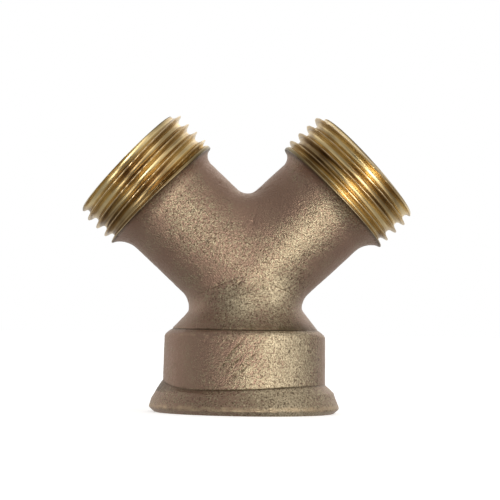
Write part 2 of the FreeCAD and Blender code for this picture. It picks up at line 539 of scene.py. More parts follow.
    def share_seams(self, left: Array, right: Array, column: Array) -> None:
        """Gives the first rings of the three pipes the same points where they meet.

        Args:
            left: The left arm's rings of point numbers, which keep theirs.
            right: The right arm's rings.
            column: The neck's rings.
        """
        half, quarter = self.around // 2, self.around // 4
        number = np.arange(self.around)
        toward_left = (number >= quarter) & (number <= 3 * quarter)
        column[0] = np.where(toward_left, left[0], column[0])
        toward_crotch = (number <= quarter) | (number >= 3 * quarter)
        facing_left, facing_neck = left[0][-number % self.around], column[0][(number + half) % self.around]
        right[0] = np.where(toward_crotch, facing_left, facing_neck)

    def branch_rings(self, axes: Axes, slopes: Array, end: float, rows: int) -> Array:
        """Rings along one pipe from its seam to a plain end.

        Args:
            axes: Side direction, second side direction and direction along the pipe.
            slopes: Reach over radius of the seam at each angle.
            end: Where the last ring lies along the pipe.
            rows: How many rings.

        Returns:
            Places from the junction, by ring and angle.
        """
        spoke = spokes(self.turns(), axes)
        way = slopes[:, None] * axes[2] + spoke
        seam = self.walk_in(np.zeros_like(way), way, self.pipe_radius + self.seam_clearance)
        rings = [seam[:, None] * way]
        reach0 = seam * slopes
        for row in range(1, rows):
            reach = reach0 + (end - reach0) * row / (rows - 1)
            base = reach[:, None] * axes[2]
            out = self.walk_in(base, spoke, self.pipe_radius + self.ring_clearance)
            rings.append(base + out[:, None] * spoke)
        return np.stack(rings)

    def arm_rings(self, side: Side) -> Array:
        """Rings of one arm from the seam to the lip's edge.

        Args:
            side: Which arm.

        Returns:
            Places in the part's frame, by ring and angle.
        """
        axes = self.layout.arm_axes(side)
        turn = self.turns()
        plain = self.branch_rings(axes, self.seam_slopes(), self.plain_arm_end, self.arm_rows)
        flared = []
        for step in range(1, self.flare_rows + 1):
            share = 1.0 - (1.0 - step / self.flare_rows) ** 1.5
            reach = self.plain_arm_end + (self.lip_reach(turn) - self.plain_arm_end) * share
            flared.append(hoop(reach, self.flared_radius(reach, turn), turn, axes))
        return np.concatenate([plain, np.stack(flared)]) + self.layout.junction

    @staticmethod
    def round_angle(turn: Array, marks: tuple) -> Array:
        """A smooth value round the socket from a few marks.

        Args:
            turn: Angles in radians from +X.
            marks: Pairs of an angle in degrees and the value there.

        Returns:
            The value at each angle.
        """
        keys, values = np.array(sorted(marks)).T
        degrees = np.degrees(turn) % 360.0
        keys = np.concatenate([keys - 360.0, keys, keys + 360.0])
        values = np.tile(values, 3)
        spread = np.linspace(-14.0, 14.0, 9)
        return np.mean([np.interp(degrees + d, keys, values) for d in spread], axis=0)

    def flange_top(self, turn: Array) -> Array:
        """Height of the uneven corner between the socket and the flange."""
        return self.flange_middle + self.round_angle(turn, self.flange_rises)

    @staticmethod
    def edge_share(turn: Array) -> Array:
        """One at the two sides of the socket, fading to nothing at its front and back."""
        return np.abs(np.cos(turn)) ** 3

    def foot_height(self, turn: Array) -> Array:
        """Height of the neck's foot at each angle, lower on the left."""
        return self.neck_foot - self.neck_foot_drop * np.clip(-np.cos(turn), 0.0, 1.0) ** 2

    def foot_blend(self, rings: Array) -> Array:
        """Softens the corner at the neck's foot, most at the front and back.

        Args:
            rings: Places in the part's frame, by ring and angle.

        Returns:
            The places moved outward.
        """
        turn = self.turns()
        below = self.foot_height(turn) - rings[..., 2]
        over = rings[..., 2] - self.layout.crease_height
        slope = (self.crease_radius - self.pipe_radius) / (self.neck_foot - self.layout.crease_height)
        width = 0.35 + 2.6 * (1.0 - self.edge_share(turn))
        fade = np.clip((6.2 + below) / 3.6, 0.0, 1.0) * np.clip(over / 1.2, 0.0, 1.0)
        out = 0.5 * slope * (np.sqrt(below**2 + width**2) - np.abs(below)) * fade
        return rings + out[..., None] * spokes(turn)

    def socket_rows(self) -> tuple[list[tuple], int]:
        """The neck's cone, shoulder, socket wall and flange as profile rows.

        Returns:
            Pairs of radius and height, each by angle, and the row of the crease.
        """
        turn = self.turns()
        even = np.ones_like(turn)
        edge = self.edge_share(turn)
        front = 1.0 - edge
        right = np.clip(np.cos(turn), 0.0, 1.0) ** 1.5
        left = np.clip(-np.cos(turn), 0.0, 1.0) ** 1.5
        plain = 1.0 - right - left
        crease = self.layout.crease_height
        crisp = self.round_angle(turn, self.shoulder_crispness)
        top = self.flange_top(turn)
        marks = [
            (even * self.pipe_radius, self.foot_height(turn), 1),
            (even * (self.crease_radius - 0.28), even * (crease + 0.30), 18),
            (self.crease_radius - 0.10 - 0.12 * crisp, even * (crease + 0.07), 4),
            (self.crease_radius - 0.02 - 0.12 * crisp, even * crease, 2),
            (14.37 * edge + 14.95 * front - 0.05 * crisp, even * (crease - 0.14), 4),
            (15.20 * edge + 15.34 * front, 15.09 * edge + 15.44 * front, 7),
            (15.40 * edge + 15.46 * front, 14.85 * edge + 15.05 * front, 3),
            (even * self.socket_radius, 14.53 * edge + 14.60 * front, 3),
            (even * (self.flange_wall_radius - 0.03), top + 0.28, 52),
            (even * (self.flange_wall_radius - 0.02), top + 0.05, 3),
            (even * (self.flange_wall_radius + 0.16), top - 0.12, 3),
            (17.30 * right + 16.75 * left + 16.62 * plain, 4.00 * right + 4.55 * left + 3.60 * plain, 8),
            (17.60 * right + 17.40 * left + 17.20 * plain, 3.10 * right + 3.40 * left + 2.80 * plain, 6),
            (17.92 * right + 17.85 * left + 17.70 * plain, 2.30 * right + 2.60 * left + 2.15 * plain, 4),
            (18.22 * right + 18.18 * left + 18.12 * plain, 1.55 * even, 6),
            (18.31 * even, 1.12 * even, 3),
            (18.20 * even, 0.84 * even, 3),
            (17.60 * even, 0.30 * even, 5),
            (17.35 * even, 0.07 * even, 3),
            (17.10 * even, 0.0 * even, 2),
        ]
        rows = []
        crease_row = 0
        radius, height = marks[0][0], marks[0][1]
        for number, (next_radius, next_height, count) in enumerate(marks[1:], start=1):
            for part in range(1, count + 1):
                share = part / count
                wide = radius + (next_radius - radius) * share
                rows.append((wide, height + (next_height - height) * share))
            radius, height = next_radius, next_height
            if number == 3:
                crease_row = len(rows)
        return rows, crease_row

    def column_rings(self) -> tuple[Array, int]:
        """Rings from the junction's seam down to the base.

        Returns:
            Places in the part's frame, and the number of the ring at the crease.
        """
        turn = self.turns()
        depth = self.layout.junction[2] - self.foot_height(turn)
        neck = self.branch_rings(DOWNWARD, self.neck_slopes(), depth, self.neck_rows) + self.layout.junction
        rows, crease_row = self.socket_rows()
        lower = np.stack([hoop(height, radius, turn) for radius, height in rows])
        return self.foot_blend(np.concatenate([neck, lower])), len(neck) + crease_row - 1

    def skin(self) -> tuple[Draft, Array, Array, Array, int]:
        """The forging's whole outer skin with its dents and grain.

        Returns:
            The draft, the left arm's, right arm's and column's rings of point
            numbers, and the column's ring at the crease.
        """
        draft = Draft()
        left = draft.add_points(self.arm_rings(Side.LEFT))
        column_places, crease_ring = self.column_rings()
        column = draft.add_points(column_places)
        right = draft.add_points(self.arm_rings(Side.RIGHT))
        self.share_seams(left, right, column)
        draft.add_band(left)
        draft.add_band(right)
        draft.add_band(column, flip=True)
        places = draft.all_points()
        draft.points = [places + draft.normals() * self.relief(places)[:, None]]
        return draft, left, right, column, crease_ring

    def relief(self, places: Array) -> Array:
        """Forging waviness, blasting grain, pits, scratches and the flash line.

        Args:
            places: Points of the smooth skin.

        Returns:
            How far each point stands out, negative for a dent.
        """
        base = places[:, 2]
        keep = np.clip((base - 0.3) / 0.8, 0.0, 1.0)
        lump, grain = self.lump_height, self.grain_height
        layers = ((lump, 5.5), (0.6 * lump, 2.3), (grain, 0.9), (0.7 * grain, 0.42))
        rise = np.zeros(len(places))
        for number, (height, size) in enumerate(layers):
            rise += height * lattice_noise(places, size, self.seed + number)
        rise *= keep
        chance = np.random.default_rng(self.seed)
        spots = places[chance.integers(0, len(places), self.pit_count)]
        sizes = chance.uniform(0.16, 0.34, self.pit_count)
        deep = np.array(self.deep_pits)
        for spot, size in zip(np.vstack([spots, deep[:, :3]]), np.append(sizes, deep[:, 3])):
            near = np.abs(places - spot).max(axis=1) < 3.0 * size
            gap = np.linalg.norm(places[near] - spot, axis=1)
            rise[near] -= self.pit_depth * size * hump(gap / size)
        rise -= self.stroke_relief * self.scratches(places)
        turn = np.degrees(np.arctan2(places[:, 1], places[:, 0]))
        from_flash = (turn - self.flash_turn) * math.radians(1) * self.flash_radius
        flash = hump(from_flash / self.flash_width) * (base < self.flash_top)
        return rise - self.flash_height * flash * keep

    def scratches(self, places: Array) -> Array:
        """Depth of the handling scratches on the front of the socket and neck.

        Args:
            places: Points of the smooth skin.

        Returns:
            The depth at each point.
        """
        depth = np.zeros(len(places))
        front = (places[:, 1] < -6.0) & (places[:, 2] < 30.0)
        spot = places[front][:, [0, 2]]
        gouge = np.zeros(len(spot))
        for x0, z0, x1, z1, deep in self.strokes:
            start, run = np.array([x0, z0]), np.array([x1 - x0, z1 - z0])
            share = np.clip(((spot - start) @ run) / (run @ run), 0.0, 1.0)
            bend = 0.18 * np.sin(7.0 * share)[:, None] * np.array([1.0, 0.3])
            gap = np.linalg.norm(spot - start - share[:, None] * run - bend, axis=1)
            fade = np.sin(math.pi * np.clip(share, 0.02, 0.98)) ** 0.5
            gouge = np.maximum(gouge, deep * fade * hump(gap / self.stroke_width))
        depth[front] = gouge
        return depth

    def wear(self, places: Array) -> Array:
        """How rubbed each point is along the flange and the shoulder.

        Args:
            places: Points of the skin.

        Returns:
            From 0 for untouched to 1 for bare.
        """
        radius = np.hypot(places[:, 0], places[:, 1])
        flange = hump((radius - self.rubbed_radius) / self.rubbed_width) * (places[:, 2] < 5.0)
        shoulder = 0.5 * hump((places[:, 2] - self.shoulder_height) / 0.35)
        return np.maximum(flange, shoulder) * (0.6 + 0.4 * lattice_noise(places, 0.8, 41))

    def stain_and_shade(self, places: Array) -> Array:
        """How dark each point is painted, with oil stains and painted shade: painted shade along the shoulder
        crease, a painted shadow band above it at the front right, painted shade in the corner between the
        socket and the flange, on the flange's left side and in the deep pits, dark scratches, and darker
        along the lips' edges.

        Args:
            places: Points of the skin.

        Returns:
            From 0 for none to 1 for black.
        """
        turn = np.arctan2(places[:, 1], places[:, 0])
        radius = np.hypot(places[:, 0], places[:, 1])
        over = places[:, 2] - self.layout.crease_height
        fading = hump(np.maximum(over, 0.0) / 1.6) * (over > -0.1)
        low = places[:, 2] - self.flange_top(turn)
        side = np.clip(-np.cos(turn), 0.0, 1.0) ** 10 * np.clip((radius - 15.76) / 0.1, 0.0, 1.0)
        dark = [
            # Painted shade: a thin dark line along the shoulder crease.
            0.8 * hump(over / 0.16),
            # Painted shadow: a soft dark band above the crease, strongest at the front right.
            self.round_angle(turn, self.crease_shadow) * fading,
            # Painted shade in the corner between the socket wall and the flange's top.
            self.round_angle(turn, self.flange_corner_shade) * hump((low + 0.02) / 0.19),
            # Painted shade on the flange's top at the left side, just outside the socket wall.
            0.9 * side * (places[:, 2] > 4.0) * (places[:, 2] < 7.0),
            np.clip(14.0 * self.scratches(places), 0.0, 0.8),
        ]
        # Painted shade in the deep pits.
        for x, y, z, size in self.deep_pits:
            gap = np.linalg.norm(places - np.array([x, y, z]), axis=1)
            dark.append(0.85 * hump(gap / (0.95 * size)))
        off = places - self.layout.junction
        for arm in Side:
            crotch, _, along = self.layout.arm_axes(arm)
            edge = self.layout.thread_start - self.lip_tilt * (off @ crotch) / self.lip_radius
            dark.append(0.8 * np.clip((off @ along - edge + 0.50) / 0.45, 0.0, 1.0))
        cloud = 0.9 + 0.25 * lattice_noise(places, 0.9, 43)
        return np.clip(np.maximum.reduce(dark) * cloud, 0.0, 1.0)

    def burnish_and_light(self, places: Array) -> Array:
        """How far each point is brightened: painted light where the key light falls, on the right of the
        socket, the flange and the neck and in bands along the arms, with handling scuffs and a random cloud;
        the sides take less than the front and back faces.

        Args:
            places: Points of the skin.

        Returns:
            From 0 for untouched blasting to 1 for the brightest.
        """
        face = 0.3 + 0.7 * np.clip(np.abs(places[:, 1]) / 10.0, 0.0, 1.0)
        off = places - self.layout.junction
        glow = np.zeros(len(places))
        # Painted light: a lit band along each arm, brightest on the right arm's lower side.
        for side, centre, width, most in self.arm_glows:
            crotch, _, along = self.layout.arm_axes(side)
            reach, low = off @ along, -(off @ crotch)
            band = hump((low - centre) / width) * np.clip((reach + 2.0) / 6.0, 0.0, 1.0)
            glow = np.maximum(glow, most * band)
        x, z = places[:, 0], places[:, 2]
        # Painted light on the neck's right front and on its foot.
        neck = hump((x - 5.2) / 5.2, (z - 22.8) / 5.6)
        foot = 0.95 * hump((x + 1.0) / 4.6, (z - 20.5) / 4.5)
        wall = (z > self.wall_foot) & (z < self.wall_top)
        # Painted light on the socket wall, brightest at the right and softer at the front.
        socket = np.maximum(hump((x - 7.6) / 6.0), 0.45 * hump((x - 0.6) / 4.5)) * wall
        # Painted light on the flange, brightest on the right.
        flange = (0.18 + 0.82 * hump((x - 8.0) / 7.0)) * (z <= self.wall_foot)
        glow = np.maximum.reduce([glow, neck, foot, socket, flange]) * face
        cloud = 0.13 * lattice_noise(places, 3.2, 51) + 0.10 * lattice_noise(places, 1.1, 52)
        return np.clip(glow + cloud + self.scuffs(places), 0.0, 1.0)

    def scuffs(self, places: Array) -> Array:
        """Diagonal brushed strokes on the socket's face and the neck.

        Args:
            places: Points of the skin.

        Returns:
            How much lighter or darker each point is.
        """
        x, z = places[:, 0], places[:, 2]
        strokes = np.stack([(x + z) * 0.09, places[:, 1] * 0.1, z - x], axis=-1)
        drawn = lattice_noise(strokes, 0.42, 61)
        drawn += 0.6 * lattice_noise(strokes * np.array([2.0, 1.0, 1.0]), 0.8, 62)
        socket = hump((x + 0.8) / 3.6, (z - 10.4) / 4.0)
        neck = 0.6 * hump((x - 1.5) / 3.5, (z - 24.0) / 3.0)
        return 0.42 * drawn * np.maximum(socket, neck)

    def marks(self, places: Array) -> dict[str, Array]:
        """The values that the blasted finish reads at each point."""
        return {"wear": self.wear(places), "stain_and_shade": self.stain_and_shade(places), "burnish_and_light": self.burnish_and_light(places)}

    def hollow_rings(self, axes: Axes, slopes: Array, end: Array, rows: int) -> Array:
        """Rings of a bored passage from the junction's seam to its end.

        Args:
            axes: Side direction, second side direction and direction along the passage.
            slopes: Reach over radius of the seam at each angle.
            end: Where the passage ends at each angle.
            rows: How many rings.

        Returns:
            Places in the part's frame, by ring and angle.
        """
        seam = slopes * self.bore_radius
        reach = np.stack([seam + (end - seam) * row / (rows - 1) for row in range(rows)])
        return hoop(reach, np.full(reach.shape, self.bore_radius), self.turns(), axes) + self.layout.junction

    def build(self, blasted: Material, turned: Material) -> list[Piece]:
        """Makes the wye and the inlet socket as two closed shells that meet at the crease.

        Args:
            blasted: Finish of the outer skin.
            turned: Finish of the machined faces and passages.

        Returns:
            The two pieces.
        """
        draft, left, right, column, crease_ring = self.skin()
        wye = Draft(points=[draft.all_points()], count=draft.count)
        self.close_wye(wye, left, right, column[: crease_ring + 1])
        socket = Draft(points=[draft.all_points()], count=draft.count)
        self.close_socket(socket, column[crease_ring:])
        pieces = []
        for part, name, node in (
            (wye, "forged_wye", "wye_body"),
            (socket, "forged_inlet_socket", "inlet_socket"),
        ):
            piece = part.build(name, [blasted, turned], self.marks(part.all_points()))
            pieces.append(seat(piece, Slot.BLASTED, node))
        return pieces

    def close_wye(self, wye: Draft, left: Array, right: Array, column: Array) -> None:
        """Adds the wye's outer bands, its passages and the faces between them.

        Args:
            wye: The draft, with the skin's points in it.
            left: The left arm's rings.
            right: The right arm's rings.
            column: The neck's rings down to the crease.
        """
        ends, slopes = self.lip_reach(self.turns()), self.seam_slopes()
        inner_left, inner_right = [
            wye.add_points(self.hollow_rings(self.layout.arm_axes(side), slopes, ends, self.passage_rows))
            for side in Side
        ]
        depth = np.full(self.around, self.layout.junction[2] - self.layout.crease_height)
        passage = self.hollow_rings(DOWNWARD, self.neck_slopes(), depth, self.neck_passage_rows)
        inner_neck = wye.add_points(passage)
        self.share_seams(inner_left, inner_right, inner_neck)
        for outer, inner, flip in (
            (left, inner_left, False),
            (right, inner_right, False),
            (column, inner_neck, True),
        ):
            wye.add_band(outer, flip=flip)
            wye.add_band(inner, flip=not flip, paint=1)
            wye.add_band(np.stack([outer[-1], inner[-1]]), flip=flip, paint=1)

    def close_socket(self, socket: Draft, column: Array) -> None:
        """Adds the socket's outer band, base, bore, washer space and roof.

        Args:
            socket: The draft, with the skin's points in it.
            column: The rings from the crease to the base.
        """
        inside = [
            (self.socket_bore, 0.0),
            (self.socket_bore, self.ring_height),
            (self.relief_radius, self.ring_height),
            (self.relief_radius, self.roof),
            (self.bore_radius + self.roof_break, self.roof),
            (self.bore_radius, self.roof + self.roof_break),
            (self.bore_radius, self.layout.crease_height),
        ]
        inner = socket.add_points(np.stack([hoop(height, radius, self.turns()) for radius, height in inside]))
        socket.add_band(column, flip=True)
        socket.add_band(np.stack([column[-1], inner[0]]), flip=True, paint=1)
        socket.add_band(inner, flip=True, paint=1)
        socket.add_band(np.stack([inner[-1], column[0]]), flip=True, paint=1)


# ---------------------------------------------------------------- threads


@dataclass
class HoseThread:
    """A turned hose thread: narrow ragged crests over wide rounded valleys."""

    pitch: float = 25.4 / 11.5
    crest_land: float = 0.07
    hollow: float = 2.8
    seed: int = 5

    def shape(self, reach: Array, turn: Array, first: float) -> Array:
        """Height of the thread over its root.

        Args:
            reach: Distance along the axis.
            turn: Angle round the axis.
            first: Where a crest lies along the axis at angle zero.

        Returns:
            Height from 0 at the root to 1 at the crest.
        """
        phase = (reach - first) / self.pitch - turn / FULL_TURN
        off = np.abs(phase - np.round(phase)) * 2.0
        return np.clip(1.0 - (off - self.crest_land) / (1.0 - self.crest_land), 0.0, 1.0) ** self.hollow

    def burr(self, reach: Array, turn: Array, height: Array) -> Array:
        """Torn crests and the grooves that the tool leaves round the thread.

        Args:
            reach: Distance along the axis.
            turn: Angle round the axis.
            height: Height over the root, from 0 to 1.

        Returns:
            How far each point stands out.
        """
        drawn = np.stack([reach, 2.6 * np.cos(turn), 2.6 * np.sin(turn)], axis=-1).reshape(-1, 3)
        layers = ((0.04, 0.62), (0.01, 0.30), (0.002, 0.40), (0.006, 0.9))
        tear, ragged, fine, coarse = [
            (high * lattice_noise(drawn, size, self.seed + number)).reshape(reach.shape)
            for number, (high, size) in enumerate(layers)
        ]
        crest = np.clip((height - 0.62) / 0.38, 0.0, 1.0)
        return (tear + ragged) * crest + (fine + coarse)


@dataclass
class OutletThread:
    """One arm's turned end: lip, male thread, chamfered rim and bore."""

    layout: Layout
    body: ForgedBody
    side: Side
    thread: HoseThread = field(default_factory=HoseThread)
    around: int = 512
    root_radius: float = 12.05
    crest_radius: float = 13.42
    bore_radius: float = 8.5
    first_crest: float = 23.78
    row_step: float = 0.068
    chamfer_start: float = 0.98
    chamfer_slope: float = 0.92
    rim_overhang: float = 0.18
    rim_round: float = 0.25
    lip_land: float = 0.24
    lip_bead: float = 0.07
    lip_fall: float = 0.66
    runout_start: float = 0.55
    runout: float = 0.9
    rim_stages: tuple = (
        (3.55, 0.0), (1.9, 0.0), (0.55, 0.0), (0.12, 0.42), (0.0, 0.6), (0.0, 3.4), (0.0, 6.2),
    )
    middle_reach: float = 22.4

    @property
    def rim(self) -> float:
        """Where the rim lies along the arm."""
        return self.layout.rim + self.rim_overhang

    def lip_height(self, past: Array, turn: Array) -> Array:
        """Radius of the lip behind its edge.

        Args:
            past: Distance past the lip's edge.
            turn: Angle from the crotch.

        Returns:
            The radius, down to the thread's root.
        """
        inward = np.cos(turn)
        land = self.lip_land + 0.14 * inward + 0.26 * np.clip(inward, 0.0, 1.0) ** 3
        bead = self.lip_bead * np.sin(np.clip(past / land, 0.0, 1.0) * math.pi)
        fall = np.clip((past - land) / (self.lip_fall + 0.10 * inward), 0.0, 1.0)
        edge = self.body.lip_edge(turn)
        return edge + bead - (edge - self.root_radius) * smooth(fall)

    def outside(self) -> Axes:
        """The turned outside as rings.

        Returns:
            Reach, angle and radius, each by ring and angle.
        """
        angle, rim = ring_angles(self.around), self.rim
        start = self.body.lip_reach(angle)
        rows = int((rim - start.mean()) / self.row_step)
        share = np.linspace(0.0, 1.0, rows)[:, None]
        reach = start + (rim - start) * share
        turn = np.broadcast_to(angle, reach.shape)
        past = reach - start
        height = self.thread.shape(reach, turn, self.first_crest)
        grow = np.clip((past - self.runout_start) / self.runout, 0.0, 1.0)
        ridge = self.root_radius + (self.crest_radius - self.root_radius) * height * grow
        radius = np.maximum(ridge, self.lip_height(past, turn))
        past_chamfer = np.maximum(reach - (rim - self.chamfer_start), 0.0)
        cone = self.crest_radius + 0.02 - past_chamfer * self.chamfer_slope
        bend = self.rim_round
        edge = np.sqrt(np.maximum(bend**2 - np.clip(reach - (rim - bend), 0.0, bend) ** 2, 0.0)) - bend
        return reach, turn, np.minimum(radius, cone) + 0.6 * edge

    def build(self, turned: Material) -> Piece:
        """Makes the closed turned end.

        Args:
            turned: The turned finish.

        Returns:
            The piece.
        """
        axes = self.layout.arm_axes(self.side)
        reach, turn, radius = self.outside()
        angle, rim = turn[0], self.rim
        height = (radius - self.root_radius) / (self.crest_radius - self.root_radius)
        inner_step = np.clip((self.layout.rim - 0.55 - reach) / 0.4, 0.0, 1.0)
        lip_hold = np.clip((reach - reach[0]) / 0.3, 0.0, 1.0)
        rise = self.thread.burr(reach + 40.0 * self.side.value, turn, height) * inner_step * lip_hold
        places = hoop(reach, radius, angle, axes) + self.layout.junction
        draft = Draft()
        rings = draft.add_points(places + rise[..., None] * spokes(angle, axes))
        inside = [(self.bore_radius + over, rim - depth, rim - depth) for over, depth in self.rim_stages]
        inside.append((self.bore_radius, self.body.lip_reach(angle), self.middle_reach))
        loops = [hoop(at, size, angle, axes) + self.layout.junction for size, at, _ in inside]
        inner = draft.add_points(np.stack(loops))
        draft.add_band(np.concatenate([rings, inner, rings[:1]]))
        inner_along = np.repeat([middle - size for size, _, middle in inside], self.around)
        plain = np.zeros(len(inside) * self.around)
        along = np.concatenate([(reach - radius).ravel(), inner_along])
        name = f"{self.side.name.lower()}_hose_thread"
        past = reach - reach[0]
        bead = hump(past / 0.75) * np.clip(0.25 + 0.9 * np.cos(turn), 0.0, 0.92)
        lip = hump(past / 0.22) * 0.55
        end = 0.75 * hump((reach[-1] - reach) / 0.22)
        stain_and_shade = np.concatenate([np.maximum.reduce([bead, lip, end]).ravel(), plain])
        marks = {"turned_along": along * MM, "crest": np.concatenate([height.ravel(), plain]), "stain_and_shade": stain_and_shade}
        piece = draft.build(name, [turned], marks, crisp=50.0)
        return seat(piece, Slot.TURNED, f"{self.side.name.lower()}_outlet_thread")


@dataclass
class InletThread:
    """The tapped ring inside the socket's mouth."""

    thread: HoseThread = field(default_factory=lambda: HoseThread(seed=19))
    around: int = 384
    ring_radius: float = 14.2
    mouth_radius: float = 13.8
    mouth_depth: float = 1.5
    root_radius: float = 13.6
    crest_radius: float = 12.35
    height: float = 9.1
    row_step: float = 0.08
    mouth_break: float = 0.22
    first_crest: float = 2.9
    lead_in: float = 0.9

    def build(self, turned: Material) -> Piece:
        """Makes the closed ring with its female thread.

        Args:
            turned: The turned finish.

        Returns:
            The piece.
        """
        angle = ring_angles(self.around)
        up = np.append(np.arange(self.mouth_depth, self.height - 0.02, self.row_step), self.height)
        reach, turn = np.meshgrid(up, angle, indexing="ij")
        lead = np.clip((reach - self.mouth_depth) / self.lead_in, 0.0, 1.0)
        height = self.thread.shape(reach, turn, self.first_crest) * lead
        radius = self.root_radius - (self.root_radius - self.crest_radius) * height
        rise = self.thread.burr(reach, turn, height)
        places = hoop(reach, radius, angle) - (0.5 * rise)[..., None] * spokes(angle)
        before = [
            (self.ring_radius, self.height),
            (self.ring_radius, 0.0),
            (self.mouth_radius + self.mouth_break, 0.0),
            (self.mouth_radius, self.mouth_break),
            (self.mouth_radius, self.mouth_depth),
        ]
        draft = Draft()
        entry = draft.add_points(np.stack([hoop(at, size, angle) for size, at in before]))
        rings = draft.add_points(places)
        draft.add_band(np.concatenate([entry, rings, entry[:1]]), flip=True)
        along = np.concatenate([np.repeat([at for _, at in before], self.around), reach.ravel()])
        crest = np.concatenate([np.zeros(len(before) * self.around), height.ravel()])
        marks = {"turned_along": along * MM, "crest": crest}
        piece = draft.build("tapped_inlet_ring", [turned], marks, crisp=50.0)
        return seat(piece, Slot.TURNED, "inlet_thread")


@dataclass
class HoseWasher:
    """The loose rubber washer that seals against the socket's roof."""

    around: int = 256
    outer_radius: float = 12.7
    inner_radius: float = 8.0
    bottom: float = 9.4
    top: float = 12.4
    edge: float = 0.4
    groove_depth: float = 0.16
    seam_height: float = 0.07
    seam_half_width: float = 0.12

    def section(self) -> Array:
        """The washer's rounded section with its moulded sealing rings.

        Returns:
            Radius and height of each corner, round the section.
        """
        points = []
        outer, inner = self.outer_radius - self.edge, self.inner_radius + self.edge
        low, high = self.bottom + self.edge, self.top - self.edge
        corners = [(outer, low, -90.0), (outer, high, 0.0), (inner, high, 90.0), (inner, low, 180.0)]
        faces = {1: (outer, inner, self.top, -1.0), 3: (inner, outer, self.bottom, 1.0)}
        for number, (x, z, start) in enumerate(corners):
            for step in range(7):
                turn = math.radians(start + 15.0 * step)
                points.append((x + self.edge * math.cos(turn), z + self.edge * math.sin(turn)))
            if number in faces:
                near, far, level, inward = faces[number]
                for share in np.linspace(0.05, 0.95, 31):
                    groove = self.groove_depth * 0.5 * (1.0 - math.cos(share * 6.0 * math.pi))
                    points.append((near + (far - near) * share, level + inward * groove))
            if number == 0:
                middle, half = 0.5 * (self.bottom + self.top), self.seam_half_width
                for offset, out in ((-half, 0.0), (0.0, self.seam_height), (half, 0.0)):
                    points.append((self.outer_radius + out, middle + offset))
        return np.array(points)

    def build(self, rubber: Material) -> Piece:
        """Makes the washer.

        Args:
            rubber: The rubber finish.

        Returns:
            The piece.
        """
        angle = ring_angles(self.around)
        draft = Draft()
        rings = draft.add_points(np.stack([hoop(at, size, angle) for size, at in self.section()]))
        draft.add_band(np.concatenate([rings, rings[:1]]))
        piece = draft.build("rubber_hose_washer", [rubber], crisp=60.0)
        return seat(piece, Slot.RUBBER, "inlet_washer")


# ---------------------------------------------------------------- finishes


